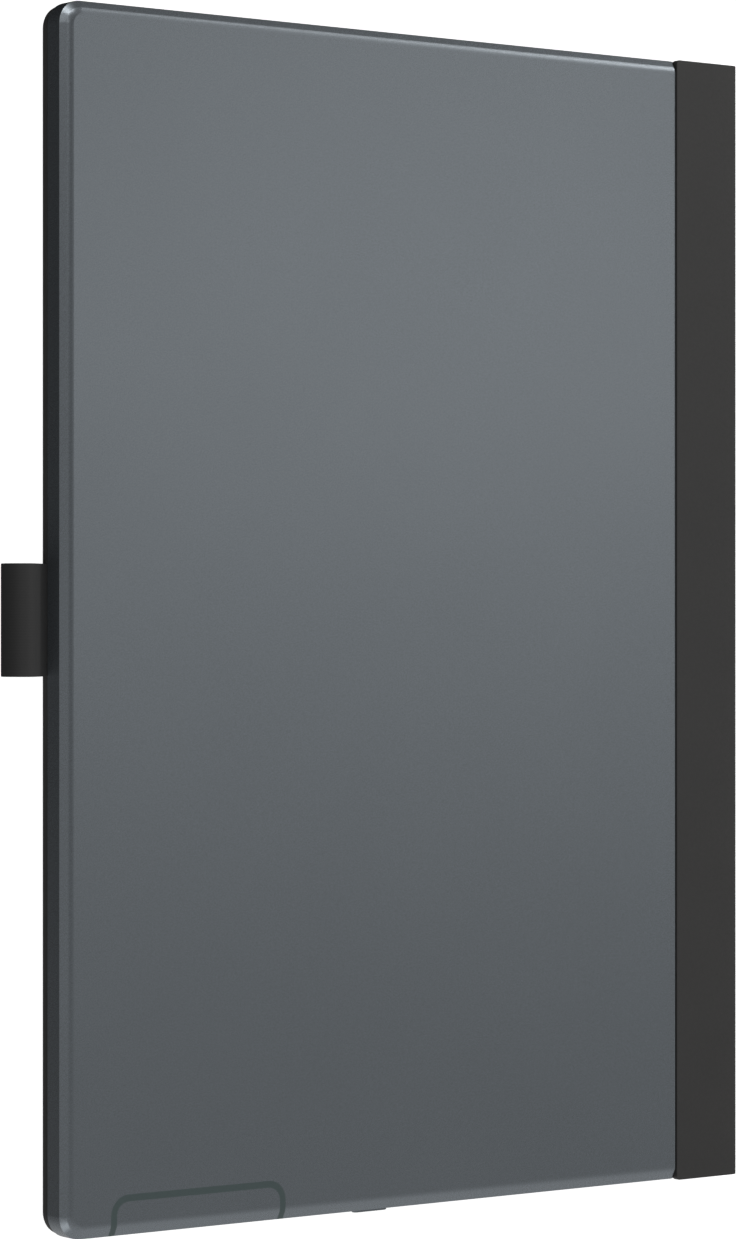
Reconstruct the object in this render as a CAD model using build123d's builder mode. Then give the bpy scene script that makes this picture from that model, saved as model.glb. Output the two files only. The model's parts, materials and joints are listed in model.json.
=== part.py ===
from build123d import *
import os

# A slim electronic-paper notebook in a book-style folio, lying face down on its front cover.
# Millimetres. +Z is up, out of the aluminium back; +Y is towards the top of the notebook;
# +X is towards the folio's spine. The origin is under the middle of the whole object, at its base.

# ---- Folio ----
folio_width = 177.1  # free edge of the front cover to the outer face of the spine
folio_height = 246.8  # back strip and spine
cover_height = 245.5
leaf = 1.7  # thickness of the front cover, the spine and the back strip
skin = 0.5  # outer leather, turned over the edges
board = 0.8  # stiffener inside each leaf
lining = leaf - skin - board
cover_corner = 4.8
cover_edge_round = 0.3
strip_width = 17.35  # part of the back that the folio's strip covers
strip_corner = 0.9
strip_edge_round = 0.15
board_gap = 0.15  # between the ends of two leaves' boards at a fold
fold_gap = 0.05  # between the leather's crease and the leather beside it

# ---- Notebook body ----
device_height = 246.2
device_thickness = 5.6
device_gap = 0.1  # front of the notebook to the cover's lining
device_corner = 4.7
cover_margin = 0.1  # the cover shows past the notebook's free side by this much
wall = 1.0
back_wall = 0.9
rim_setback = 0.1  # the wall ends this far behind the front face
bevel_width = 2.0
bevel_depth = 1.1
bevel_blend = 3.0
strip_gap = 0.2  # groove between the strip and the raised panel
step_round = 0.6
rebate_clearance = 0.05
rebate_wall = 0.8

# ---- Antenna break in the back ----
antenna_from_side = 11.5
antenna_width = 42.6
antenna_reach = 8.2
antenna_line = 1.4
antenna_corner = 4.2
antenna_web = 0.7
web_overlap = 1.5  # the web reaches this far past the break

# ---- Pen loop on the cover's free edge ----
loop_length = 22.4
loop_radius = 3.6
loop_band = 0.6
loop_reach = 11.15
loop_tab = 12.0
loop_mouth_z = 1.4  # level where the band's two ends meet, just outside the cover's edge
loop_mouth_out = 1.2

# ---- Clearances and fastenings shared by the inner pieces ----
seat_gap = 0.05  # between pieces that lie against each other
hole_gap = 0.1  # round screws and heads in plain holes
cross_width = 0.3  # cross recess in a screw's head
cross_length = 1.5
cross_share = 0.6  # of the head's depth

# ---- Levels and edges worked out from the sizes above ----
front_z = leaf + device_gap
back_z = front_z + device_thickness
rim_z = front_z + rim_setback
wall_top_z = back_z - bevel_depth
inner_back_z = back_z - back_wall
rebate_z = back_z - leaf - rebate_clearance
rebate_inner_z = rebate_z - rebate_wall

overall_width = folio_width + loop_reach
spine_face = overall_width / 2
free_edge = spine_face - folio_width
leaf_end = spine_face - leaf - board_gap
# The leather creases at the spine's two outer corners, and those creases are the hinge lines.
crease = skin / 2
fold_x = spine_face - crease
lower_fold_z = crease
upper_fold_z = back_z - crease
skin_end = fold_x - crease - fold_gap
strip_edge = spine_face - strip_width
step_x = strip_edge - strip_gap

device_left = free_edge + cover_margin
device_right = leaf_end
device_width = device_right - device_left
device_x = (device_left + device_right) / 2
device_end = device_height / 2  # half height: the top and bottom walls stand at +/- this

os.makedirs("parts", exist_ok=True)


def level(height):
    """Plane at a height, centred on the notebook body."""
    return Plane((device_x, 0, height))


def save(piece, name):
    """Label a finished piece and write it under its own name."""
    piece.part.label = name
    export_step(piece.part, f"parts/{name}.step")


def driver_cross(spots):
    """Cross recesses for the driver, one at each spot."""
    with Locations(*spots):
        Rectangle(cross_width, cross_length)
        Rectangle(cross_length, cross_width)


def block(x, y, low, high, width, length):
    """A plain block between two heights, at x, y from the middle of the notebook body."""
    with Locations((device_x + x, y, (low + high) / 2)):
        Box(width, length, high - low)


# ======================================================================
# Front cover: leather skin turned over three edges, board, lining, magnets
# ======================================================================
cover_length = leaf_end - free_edge
magnet_from_edge = 7.0
magnet_size = (5.0, 24.0)
magnet_rows = (-80, 80)


def cover_outline(inset):
    """Outline of the cover, drawn in from its three free sides; the hinge side stays put."""
    with Locations(((free_edge + inset + leaf_end) / 2, 0)):
        Rectangle(cover_length - inset, cover_height - 2 * inset)
    fillet(vertices().group_by(Axis.X)[0], radius=cover_corner - inset)


pick_margin = 0.01  # edges nearer than this to a leaf's end are left out of a pick
mouth_cut = 4 * skin

with BuildPart() as cover_skin:
    with BuildSketch(Plane.XY):
        cover_outline(0)
    extrude(amount=leaf)
    level_rims = edges().filter_by(Plane.XY).group_by(Axis.Z)
    outer_rims = (level_rims[0] + level_rims[-1]).filter_by(lambda e: e.center().X < leaf_end - pick_margin)
    fillet(outer_rims, radius=cover_edge_round)
    with BuildSketch(Plane.XY.offset(skin)):
        cover_outline(skin)
    extrude(amount=leaf, mode=Mode.SUBTRACT)
    # Bare leather that runs on from the board's end to the lower crease.
    with Locations((leaf_end, 0, 0)):
        Box(skin_end - leaf_end, cover_height, skin, align=(Align.MIN, Align.CENTER, Align.MIN))
    # Mouth for the two ends of the pen loop, at the level of the board.
    with Locations((free_edge, 0, skin + board / 2)):
        Box(mouth_cut, loop_length, board, mode=Mode.SUBTRACT)
save(cover_skin, "cover_skin")

with BuildPart() as cover_board:
    with BuildSketch(Plane.XY.offset(skin)):
        cover_outline(skin)
    extrude(amount=board)
    with Locations(*[(free_edge + magnet_from_edge, y, skin + board / 2) for y in magnet_rows]):
        Box(*magnet_size, board, mode=Mode.SUBTRACT)
    with Locations((free_edge + loop_tab / 2, 0, skin + board / 2)):
        Box(loop_tab, loop_length, board, mode=Mode.SUBTRACT)
save(cover_board, "cover_board")

with BuildPart() as cover_magnets:
    with Locations(*[(free_edge + magnet_from_edge, y, skin + board / 2) for y in magnet_rows]):
        Box(*magnet_size, board)
save(cover_magnets, "cover_magnets")

with BuildPart() as cover_lining:
    with BuildSketch(Plane.XY.offset(skin + board)):
        cover_outline(skin)
    extrude(amount=lining)
save(cover_lining, "cover_lining")

# ======================================================================
# Pen loop: a folded band, its two ends glued one on the other in the cover
# ======================================================================
loop_x = free_edge - (loop_reach - loop_radius)
loop_inner_end = free_edge - loop_mouth_out
loop_crease_radius = loop_band / 4

with BuildPart() as pen_loop:
    with BuildSketch(Plane.XZ):
        with Locations((loop_x, loop_radius)):
            Circle(loop_radius)
        with Locations((free_edge - loop_band / 2, skin + board / 2)):
            Rectangle(loop_band, board)
        make_hull()
    extrude(amount=loop_length / 2, both=True)
    with BuildSketch(Plane.XZ):
        with Locations((loop_x, loop_radius)):
            Circle(loop_radius - loop_band)
        with Locations((loop_inner_end, loop_mouth_z)):
            Circle(loop_crease_radius)
        make_hull()
    extrude(amount=loop_length, both=True, mode=Mode.SUBTRACT)
    with Locations((free_edge + loop_tab / 2, 0, skin + board / 2)):
        Box(loop_tab, loop_length, board)
save(pen_loop, "pen_loop")

# ======================================================================
# Spine: the skin with a rounded crease along each edge, its board and its lining
# ======================================================================
spine_middle = back_z / 2
spine_board_height = back_z - 2 * leaf - 2 * seat_gap

with BuildPart() as spine_skin:
    with BuildSketch(Plane.XZ):
        with Locations((fold_x, spine_middle)):
            SlotOverall(back_z, skin, rotation=90)
    extrude(amount=folio_height / 2, both=True)
save(spine_skin, "spine_skin")

with BuildPart() as spine_board:
    with Locations((spine_face - skin - board / 2, 0, spine_middle)):
        Box(board, folio_height - 2 * skin, spine_board_height)
save(spine_board, "spine_board")

with BuildPart() as spine_lining:
    with Locations((spine_face - skin - board - lining / 2, 0, spine_middle)):
        Box(lining, folio_height - 2 * skin, spine_board_height)
save(spine_lining, "spine_lining")

# ======================================================================
# Back strip: lies in the rebate of the shell, held there by magnets
# ======================================================================
strip_bottom_z = back_z - leaf
strip_backing = 0.5
plate_thickness = leaf - skin - strip_backing
strip_magnet_x = (strip_edge + leaf_end) / 2
strip_magnet_rows = (-90, -30, 30, 90)
strip_magnet_size = (7.0, 36.0)


def strip_outline(inset):
    """Outline of the strip, drawn in from its three free sides; the hinge side stays put."""
    with Locations(((strip_edge + inset + leaf_end) / 2, 0)):
        Rectangle(leaf_end - strip_edge - inset, folio_height - 2 * inset)


with BuildPart() as strip_skin:
    with BuildSketch(Plane.XY.offset(strip_bottom_z)):
        strip_outline(0)
        fillet(vertices().group_by(Axis.X)[0], radius=strip_corner)
    extrude(amount=leaf)
    top_rims = edges().filter_by(Plane.XY).group_by(Axis.Z)[-1]
    fillet(top_rims.filter_by(lambda e: e.center().X < leaf_end - pick_margin), radius=strip_edge_round)
    with BuildSketch(Plane.XY.offset(strip_bottom_z)):
        strip_outline(skin)
    extrude(amount=leaf - skin, mode=Mode.SUBTRACT)
    # Bare leather that runs on from the plate's end to the upper crease.
    with Locations((leaf_end, 0, back_z)):
        Box(skin_end - leaf_end, folio_height, skin, align=(Align.MIN, Align.CENTER, Align.MAX))
save(strip_skin, "strip_skin")

with BuildPart() as strip_plate:
    with BuildSketch(Plane.XY.offset(strip_bottom_z + strip_backing)):
        strip_outline(skin)
        with Locations(*[(strip_magnet_x, y) for y in strip_magnet_rows]):
            Rectangle(*strip_magnet_size, mode=Mode.SUBTRACT)
    extrude(amount=plate_thickness)
save(strip_plate, "strip_plate")

with BuildPart() as strip_magnets:
    with BuildSketch(Plane.XY.offset(strip_bottom_z + strip_backing)):
        with Locations(*[(strip_magnet_x, y) for y in strip_magnet_rows]):
            Rectangle(*strip_magnet_size)
    extrude(amount=plate_thickness)
save(strip_magnets, "strip_magnets")

with BuildPart() as strip_lining:
    with BuildSketch(Plane.XY.offset(strip_bottom_z)):
        strip_outline(skin)
    extrude(amount=strip_backing)
save(strip_lining, "strip_lining")

# ======================================================================
# Shell: milled aluminium tub with a soft bevel, a rebate for the strip and
# an antenna break in its lower corner
# ======================================================================
boss_radius = 1.7
screw_radius = 0.7
head_radius = 1.3
head_depth = 0.45
thread_clearance = 0.02
screw_end_room = 0.4  # left past a screw's end
screw_side_x = device_width / 2 - 3.0
frame_screw_spots = [(-screw_side_x, y) for y in (-108, -54, 0, 54, 108)]
rebate_screw_spots = [(screw_side_x, y) for y in (-114, -60, 0, 60, 114)]
frame_top_z = front_z + 2.4

button_from_side = 77.3  # middle of the button to the notebook's free side
button_x = device_left + button_from_side - device_x
button_z = front_z + 2.95
button_length = 8.6
button_height = 1.8
button_proud = 0.5
button_clearance = 0.15
button_travel = 0.3

port_x = 6.0
port_z = front_z + 2.75
port_width = 8.94
port_height = 3.16
port_metal = 0.25
port_clearance = 0.12
port_depth = 7.3
port_room = 0.4  # at each side of the receptacle, in the frame and the board

with BuildPart() as shell_blank:
    with BuildSketch(level(rim_z)):
        RectangleRounded(device_width, device_height, device_corner)
    extrude(amount=back_z - rim_z)
    back_edges = edges().filter_by(Plane.XY).group_by(Axis.Z)[-1]
    back_face = faces().filter_by(Axis.Z).sort_by(Axis.Z)[-1]
    chamfer(back_edges, length=bevel_width, length2=bevel_depth, reference=back_face)
    panel_edges = edges().filter_by(Plane.XY).group_by(Axis.Z)[-1]
    fillet(panel_edges, radius=bevel_blend)
    # Rebate along the spine side, which the strip lies in.
    with Locations((step_x, 0, rebate_z)):
        Box(
            device_width,
            2 * device_height,
            leaf * 2,
            align=(Align.MIN, Align.CENTER, Align.MIN),
            mode=Mode.SUBTRACT,
        )
    # Room inside, lower under the rebate than under the panel.
    with BuildSketch(level(rim_z)):
        RectangleRounded(device_width - 2 * wall, device_height - 2 * wall, device_corner - wall)
    extrude(amount=rebate_inner_z - rim_z, mode=Mode.SUBTRACT)
    with BuildSketch(level(rebate_inner_z)):
        RectangleRounded(device_width - 2 * wall, device_height - 2 * wall, device_corner - wall)
        with Locations((step_x - wall - device_x, 0)):
            Rectangle(
                2 * device_width,
                2 * device_height,
                align=(Align.MAX, Align.CENTER),
                mode=Mode.INTERSECT,
            )
    extrude(amount=inner_back_z - rebate_inner_z, mode=Mode.SUBTRACT)
    # The step beside the strip is rounded, and the rounding turns down the bevel at both ends.
    step_face = faces().filter_by(Axis.X).sort_by(lambda f: abs(f.center().X - step_x))[0]
    step_rim = step_face.outer_wire().edges()
    fillet(step_rim.filter_by(lambda e: e.center().Z > wall_top_z), radius=step_round)
    # Bosses that the frame's screws go up into, on the free side.
    with BuildSketch(level(frame_top_z)):
        with Locations(*frame_screw_spots):
            Circle(boss_radius)
            Circle(screw_radius + thread_clearance, mode=Mode.SUBTRACT)
    extrude(amount=inner_back_z - frame_top_z)
    # Bosses and countersunk seats for the screws hidden under the strip.
    with BuildSketch(level(frame_top_z)):
        with Locations(*rebate_screw_spots):
            Circle(boss_radius)
    extrude(amount=rebate_inner_z - frame_top_z)
    with BuildSketch(level(frame_top_z)):
        with Locations(*rebate_screw_spots):
            Circle(screw_radius + hole_gap)
    extrude(amount=rebate_z - frame_top_z, mode=Mode.SUBTRACT)
    with BuildSketch(level(rebate_z - head_depth - seat_gap)):
        with Locations(*rebate_screw_spots):
            Circle(head_radius + hole_gap)
    extrude(amount=head_depth + seat_gap, mode=Mode.SUBTRACT)
    # Openings in the bottom wall for the button and the charging port.
    with BuildSketch(Plane.XZ.offset(device_end - 2 * wall)):
        with Locations((device_x + button_x, button_z)):
            SlotOverall(button_length + 2 * button_clearance, button_height + 2 * button_clearance)
        with Locations((device_x + port_x, port_z)):
            SlotOverall(port_width + 2 * port_clearance, port_height + 2 * port_clearance)
    extrude(amount=3 * wall, mode=Mode.SUBTRACT)

antenna_x = device_left + antenna_from_side + antenna_width / 2 - device_x
antenna_base_y = -device_end - 2 * wall
antenna_top_y = -device_end + antenna_reach


def antenna_outline(inset):
    """Area of the antenna break, open at the bottom edge, with rounded upper corners."""
    with Locations((antenna_x, (antenna_base_y + antenna_top_y - inset) / 2)):
        Rectangle(antenna_width - 2 * inset, antenna_top_y - inset - antenna_base_y)
    fillet(vertices().group_by(Axis.Y)[-1], radius=antenna_corner - inset)


with BuildPart() as rear_shell:
    add(shell_blank.part)
    with BuildSketch(level(0)):
        antenna_outline(0)
    extrude(amount=back_z * 2, mode=Mode.SUBTRACT)
save(rear_shell, "rear_shell")

with BuildPart() as antenna_plate:
    add(shell_blank.part)
    with BuildSketch(level(0)):
        antenna_outline(antenna_line)
    extrude(amount=back_z * 2, mode=Mode.INTERSECT)
save(antenna_plate, "antenna_plate")

with BuildSketch(level(0)) as antenna_gap:
    antenna_outline(antenna_line)

with BuildPart() as antenna_insert:
    add(shell_blank.part)
    with BuildSketch(level(0)):
        antenna_outline(0)
    extrude(amount=back_z * 2, mode=Mode.INTERSECT)
    extrude(antenna_gap.sketch, amount=back_z * 2, mode=Mode.SUBTRACT)
    # Web behind the plate, which carries it.
    web_low_y = -device_end + wall + seat_gap
    web_high_y = antenna_top_y + web_overlap
    block(
        antenna_x,
        (web_low_y + web_high_y) / 2,
        inner_back_z - antenna_web,
        inner_back_z,
        antenna_width + 2 * web_overlap,
        web_high_y - web_low_y,
    )
save(antenna_insert, "antenna_insert")

# ======================================================================
# Display side: bezel, lens and the stack bonded behind it
# ======================================================================
active_width = 157.2
active_height = 209.6
bezel_gap = 0.1
bezel_width = 2.0
bezel_round = 0.2
bezel_inset = wall + bezel_gap
lens_inset = bezel_inset + bezel_width + bezel_gap
lens_corner = 1.5
lens_z = front_z + seat_gap
lens = 0.5
film = 0.1
touch = 0.2
guide = 0.3
paper = 0.5
digitizer = 0.3
bezel_depth = 0.95
mask_z = lens_z + lens
touch_z = mask_z + film
guide_z = touch_z + touch
paper_z = guide_z + guide
digitizer_z = paper_z + paper + seat_gap
floor_z = digitizer_z + digitizer
sensor_border = 2.0  # touch sensor and light guide past the active area
digitizer_border = 3.0
panel_border = 3.4
chin = 4.0  # driver side of the panel, towards the bottom wall
tape_width = 2.2
tape_inset = lens_inset + 0.5
tape_corner = 1.0
least_corner = 0.6


def device_outline(inset):
    """Rounded outline of the notebook body, drawn in by an equal amount all round."""
    RectangleRounded(
        device_width - 2 * inset,
        device_height - 2 * inset,
        max(device_corner - inset, least_corner),
    )


def panel_outline(border):
    """Rectangle round the active area, with the driver's extra depth at the bottom."""
    with Locations((0, -chin / 2)):
        Rectangle(active_width + 2 * border, active_height + 2 * border + chin)


with BuildPart() as front_bezel:
    with BuildSketch(level(front_z)):
        device_outline(bezel_inset)
        RectangleRounded(
            device_width - 2 * (lens_inset - bezel_gap),
            device_height - 2 * (lens_inset - bezel_gap),
            lens_corner + bezel_gap,
            mode=Mode.SUBTRACT,
        )
    extrude(amount=bezel_depth)
    fillet(edges().filter_by(Plane.XY).group_by(Axis.Z)[0], radius=bezel_round)
save(front_bezel, "front_bezel")

with BuildPart() as display_lens:
    with BuildSketch(level(lens_z)):
        RectangleRounded(device_width - 2 * lens_inset, device_height - 2 * lens_inset, lens_corner)
    extrude(amount=lens)
save(display_lens, "display_lens")

with BuildPart() as lens_mask:
    with BuildSketch(level(mask_z)):
        RectangleRounded(device_width - 2 * lens_inset, device_height - 2 * lens_inset, lens_corner)
        Rectangle(active_width, active_height, mode=Mode.SUBTRACT)
    extrude(amount=film)
save(lens_mask, "lens_mask")

with BuildPart() as lens_adhesive:
    with BuildSketch(level(mask_z)):
        Rectangle(active_width, active_height)
    extrude(amount=film)
save(lens_adhesive, "lens_adhesive")

with BuildPart() as touch_sensor:
    with BuildSketch(level(touch_z)):
        Rectangle(active_width + 2 * sensor_border, active_height + 2 * sensor_border)
    extrude(amount=touch)
save(touch_sensor, "touch_sensor")

with BuildPart() as light_guide:
    with BuildSketch(level(guide_z)):
        Rectangle(active_width + 2 * sensor_border, active_height + 2 * sensor_border)
    extrude(amount=guide)
save(light_guide, "light_guide")

led_count = 14
led_pitch = active_width / led_count
led_size = (3.0, 1.0)
led_gap = 0.2
led_y = active_height / 2 + sensor_border + led_gap + led_size[1] / 2

with BuildPart() as front_light_leds:
    with BuildSketch(level(guide_z)):
        with Locations(*[((i - (led_count - 1) / 2) * led_pitch, led_y) for i in range(led_count)]):
            Rectangle(*led_size)
    extrude(amount=guide)
save(front_light_leds, "front_light_leds")

with BuildPart() as epaper_panel:
    with BuildSketch(level(paper_z)):
        panel_outline(panel_border)
    extrude(amount=paper)
save(epaper_panel, "epaper_panel")

with BuildPart() as pen_digitizer:
    with BuildSketch(level(digitizer_z)):
        Rectangle(active_width + 2 * digitizer_border, active_height + 2 * digitizer_border)
    extrude(amount=digitizer)
save(pen_digitizer, "pen_digitizer")

with BuildPart() as display_tape:
    with BuildSketch(level(touch_z)):
        RectangleRounded(
            device_width - 2 * tape_inset,
            device_height - 2 * tape_inset,
            tape_corner,
        )
        Rectangle(
            device_width - 2 * tape_inset - 2 * tape_width,
            device_height - 2 * tape_inset - 2 * tape_width,
            mode=Mode.SUBTRACT,
        )
    extrude(amount=front_z + bezel_depth + seat_gap - touch_z)
save(display_tape, "display_tape")

# ======================================================================
# Frame: magnesium plate that the display, cells and boards fasten to
# ======================================================================
frame_low_z = front_z + bezel_depth + seat_gap
cell_width = 64.0
cell_length = 130.0
cell_thickness = 2.4
cell_gap = 4.0
cell_corner = 1.5
cell_round = 0.4
cell_play = 0.5  # round each cell in its window
cells_x = -6.0
cells_y = 22.0
cell_z = floor_z + 2 * seat_gap
cell_columns = [cells_x + side * (cell_width + cell_gap) / 2 for side in (-1, 1)]
standoff_radius = 1.6
board_rise = 0.45
board_z = frame_top_z + board_rise
board_depth = 0.8
board_left = -74.0
board_right = 44.0
board_low = -121.4
board_high = -90.0
board_screw_spots = [(-70.5, -93.5), (-16, -93.5), (40.5, -93.5), (-70.5, -110), (40.5, -110)]
flex_x = 21.0
flex_width = 34.0
flex = 0.12
flex_slot = (flex_width + 2.0, 4.4)
flex_slot_inside = 0.6  # how far the slot reaches under the panel
flex_low_y = -active_height / 2 - panel_border - chin
flex_out = 1.8  # the flex turns up this far past the panel
notch_deep = 10.0
pocket_gap = 0.4
button_room = 2.5  # at each end of the button, in the frame and the board

with BuildPart() as mid_frame:
    with BuildSketch(level(frame_low_z)):
        device_outline(bezel_inset)
    extrude(amount=frame_top_z - frame_low_z)
    # Pocket for the display stack.
    with BuildSketch(level(frame_low_z)):
        panel_outline(panel_border + pocket_gap)
    extrude(amount=floor_z - frame_low_z, mode=Mode.SUBTRACT)
    # Windows that the two cells sit down into.
    with BuildSketch(level(floor_z)):
        with Locations(*[(x, cells_y) for x in cell_columns]):
            Rectangle(cell_width + 2 * cell_play, cell_length + 2 * cell_play)
    extrude(amount=frame_top_z, mode=Mode.SUBTRACT)
    # Slot for the display's flex, and notches at the button and the port.
    with BuildSketch(level(frame_low_z)):
        with Locations((flex_x, flex_low_y - flex_slot[1] / 2 + flex_slot_inside)):
            Rectangle(*flex_slot)
    extrude(amount=frame_top_z, mode=Mode.SUBTRACT)
    with BuildSketch(level(0)):
        with Locations((button_x, -device_end + notch_deep / 2)):
            Rectangle(button_length + 2 * button_room, notch_deep)
        with Locations((port_x, -device_end + notch_deep / 2)):
            Rectangle(port_width + 2 * port_room, notch_deep)
    extrude(amount=back_z, mode=Mode.SUBTRACT)
    # Standoffs under the main board.
    with BuildSketch(level(frame_top_z)):
        with Locations(*board_screw_spots):
            Circle(standoff_radius)
    extrude(amount=board_z - frame_top_z)
    with BuildSketch(level(frame_low_z)):
        with Locations(*board_screw_spots):
            Circle(screw_radius + thread_clearance)
    extrude(amount=board_z, mode=Mode.SUBTRACT)
    # Countersunk seats and holes for the screws into the shell, and threads for those from the back.
    with BuildSketch(level(0)):
        with Locations(*frame_screw_spots):
            Circle(screw_radius + hole_gap)
        with Locations(*rebate_screw_spots):
            Circle(screw_radius + thread_clearance)
    extrude(amount=back_z, mode=Mode.SUBTRACT)
    with BuildSketch(level(frame_low_z)):
        with Locations(*frame_screw_spots):
            Circle(head_radius + hole_gap)
    extrude(amount=head_depth + seat_gap, mode=Mode.SUBTRACT)
save(mid_frame, "mid_frame")

with BuildPart() as frame_screws:
    with BuildSketch(level(frame_low_z + seat_gap)):
        with Locations(*frame_screw_spots):
            Circle(head_radius)
    extrude(amount=head_depth)
    with BuildSketch(level(frame_low_z + seat_gap + head_depth)):
        with Locations(*frame_screw_spots):
            Circle(screw_radius)
    extrude(amount=inner_back_z - frame_low_z - head_depth - screw_end_room)
    with BuildSketch(level(frame_low_z + seat_gap)):
        driver_cross(frame_screw_spots)
    extrude(amount=head_depth * cross_share, mode=Mode.SUBTRACT)
save(frame_screws, "frame_screws")

with BuildPart() as rebate_screws:
    with BuildSketch(level(rebate_z - head_depth)):
        with Locations(*rebate_screw_spots):
            Circle(head_radius)
    extrude(amount=head_depth)
    with BuildSketch(level(frame_low_z + screw_end_room)):
        with Locations(*rebate_screw_spots):
            Circle(screw_radius)
    extrude(amount=rebate_z - head_depth - frame_low_z - screw_end_room)
    with BuildSketch(level(rebate_z)):
        driver_cross(rebate_screw_spots)
    extrude(amount=-head_depth * cross_share, mode=Mode.SUBTRACT)
save(rebate_screws, "rebate_screws")

# ======================================================================
# Power: two flat cells, their tape, protection board and leads
# ======================================================================
protection_below = 4.2  # from the cells' end to the middle of the protection board
protection_rise = 0.2
protection_y = cells_y - cell_length / 2 - protection_below
protection_z = frame_top_z + protection_rise
protection_size = (40.0, 5.0)
protection_thickness = 0.8
protection_chip = (2.6, 2.0)
chip_height = 0.6
chip_pitch = 5.0
chip_count = 6
tape_strip_height = 20.0
tape_strip_inset = 8.0
tape_strip_rows = (-40, 40)
lead_radius = 0.4
lead_pitch = 1.1

with BuildPart() as battery_cells:
    with BuildSketch(level(cell_z)):
        with Locations(*[(x, cells_y) for x in cell_columns]):
            RectangleRounded(cell_width, cell_length, cell_corner)
    extrude(amount=cell_thickness)
    fillet(edges().filter_by(Plane.XY), radius=cell_round)
save(battery_cells, "battery_cells")

with BuildPart() as battery_tape:
    with BuildSketch(level(cell_z + cell_thickness)):
        with Locations(*[(x, cells_y + row) for x in cell_columns for row in tape_strip_rows]):
            Rectangle(cell_width - 2 * tape_strip_inset, tape_strip_height)
    extrude(amount=inner_back_z - cell_z - cell_thickness)
save(battery_tape, "battery_tape")

with BuildPart() as battery_board:
    with BuildSketch(level(protection_z)):
        with Locations((cells_x, protection_y)):
            Rectangle(*protection_size)
    extrude(amount=protection_thickness)
    with BuildSketch(level(protection_z + protection_thickness)):
        chips_start = cells_x - (chip_count - 1) / 2 * chip_pitch
        with Locations(*[(chips_start + chip_pitch * i, protection_y) for i in range(chip_count)]):
            Rectangle(*protection_chip)
    extrude(amount=chip_height)
save(battery_board, "battery_board")

lead_start_y = protection_y - protection_size[1] / 2 - 2 * seat_gap
lead_reach = 2.5
lead_count = 4
lead_end_y = board_high - lead_reach
lead_z = board_z + board_depth + 2 * seat_gap + lead_radius

with BuildPart() as battery_leads:
    with BuildSketch(Plane.XZ.offset(-lead_start_y)):
        with Locations((device_x + cells_x, lead_z)):
            with GridLocations(lead_pitch, lead_pitch, lead_count, 1):
                Circle(lead_radius)
    extrude(amount=lead_start_y - lead_end_y)
save(battery_leads, "battery_leads")

# ======================================================================
# Electronics: main board, its parts, charging port and switch
# ======================================================================
board_top_z = board_z + board_depth
board_corner = 1.0
tub_depth = 0.85
tub_sheet = 0.15
shield_x = -13.0
shield_y = -107.0
shield_size = (28.0, 20.0)
shield_sheet = 0.2
shield_corner = 0.8
radio_x = -58.0
radio_y = -101.0
radio_size = (13.0, 15.0)
radio_corner = 0.5
large_chip = (10.0, 11.0)
chip_side = 6.5
chip_up = 3.0
chip_down = 6.0
large_chip_spots = [(shield_x - chip_side, shield_y), (shield_x + chip_side, shield_y + chip_up)]
small_chip = (5.0, 5.0)
small_chip_spots = [(26, -98), (34, -106), (20, -108)]
clock_chip = (6.0, 4.0)
port_pocket = 7.0  # how far the board is cut away behind its lower edge at the receptacle
button_pocket = 4.5
lead_plug = (7.0, 3.0)
flex_plug_y = -108.5
flex_plug_width = 3.0
flex_plug_height = 0.3

with BuildPart() as main_board:
    with BuildSketch(level(board_z)):
        with Locations(((board_left + board_right) / 2, (board_low + board_high) / 2)):
            RectangleRounded(board_right - board_left, board_high - board_low, board_corner)
        with Locations((button_x, board_low)):
            Rectangle(button_length + 2 * button_room, 2 * button_pocket, mode=Mode.SUBTRACT)
        with Locations((port_x, board_low)):
            Rectangle(port_width + 2 * port_room, 2 * port_pocket, mode=Mode.SUBTRACT)
        with Locations(*board_screw_spots):
            Circle(screw_radius + hole_gap, mode=Mode.SUBTRACT)
    extrude(amount=board_depth)
save(main_board, "main_board")

with BuildPart() as board_screws:
    with BuildSketch(level(board_top_z)):
        with Locations(*board_screw_spots):
            Circle(head_radius)
    extrude(amount=head_depth)
    with BuildSketch(level(frame_top_z)):
        with Locations(*board_screw_spots):
            Circle(screw_radius)
    extrude(amount=board_top_z - frame_top_z)
    with BuildSketch(level(board_top_z + head_depth)):
        driver_cross(board_screw_spots)
    extrude(amount=-head_depth * cross_share, mode=Mode.SUBTRACT)
save(board_screws, "board_screws")

with BuildPart() as processor_shield:
    with BuildSketch(level(board_top_z)):
        with Locations((shield_x, shield_y)):
            RectangleRounded(*shield_size, shield_corner)
    extrude(amount=tub_depth)
    with BuildSketch(level(board_top_z)):
        with Locations((shield_x, shield_y)):
            Rectangle(shield_size[0] - 2 * shield_sheet, shield_size[1] - 2 * shield_sheet)
    extrude(amount=tub_depth - tub_sheet, mode=Mode.SUBTRACT)
save(processor_shield, "processor_shield")

with BuildPart() as board_chips:
    with BuildSketch(level(board_top_z)):
        with Locations(*large_chip_spots):
            Rectangle(*large_chip)
        with Locations(*small_chip_spots):
            Rectangle(*small_chip)
        with Locations((shield_x + chip_side, shield_y - chip_down)):
            Rectangle(*clock_chip)
    extrude(amount=chip_height)
save(board_chips, "board_chips")

with BuildPart() as wireless_module:
    with BuildSketch(level(board_top_z)):
        with Locations((radio_x, radio_y)):
            RectangleRounded(*radio_size, radio_corner)
    extrude(amount=tub_depth - tub_sheet)
save(wireless_module, "wireless_module")

with BuildPart() as board_connectors:
    with BuildSketch(level(board_top_z)):
        with Locations((cells_x, lead_end_y - 2 * seat_gap - lead_plug[1] / 2)):
            Rectangle(*lead_plug)
    extrude(amount=tub_depth)
    with BuildSketch(level(board_z - flex_plug_height)):
        with Locations((flex_x, flex_plug_y)):
            Rectangle(flex_width - 2, flex_plug_width)
    extrude(amount=flex_plug_height)
save(board_connectors, "board_connectors")

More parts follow.
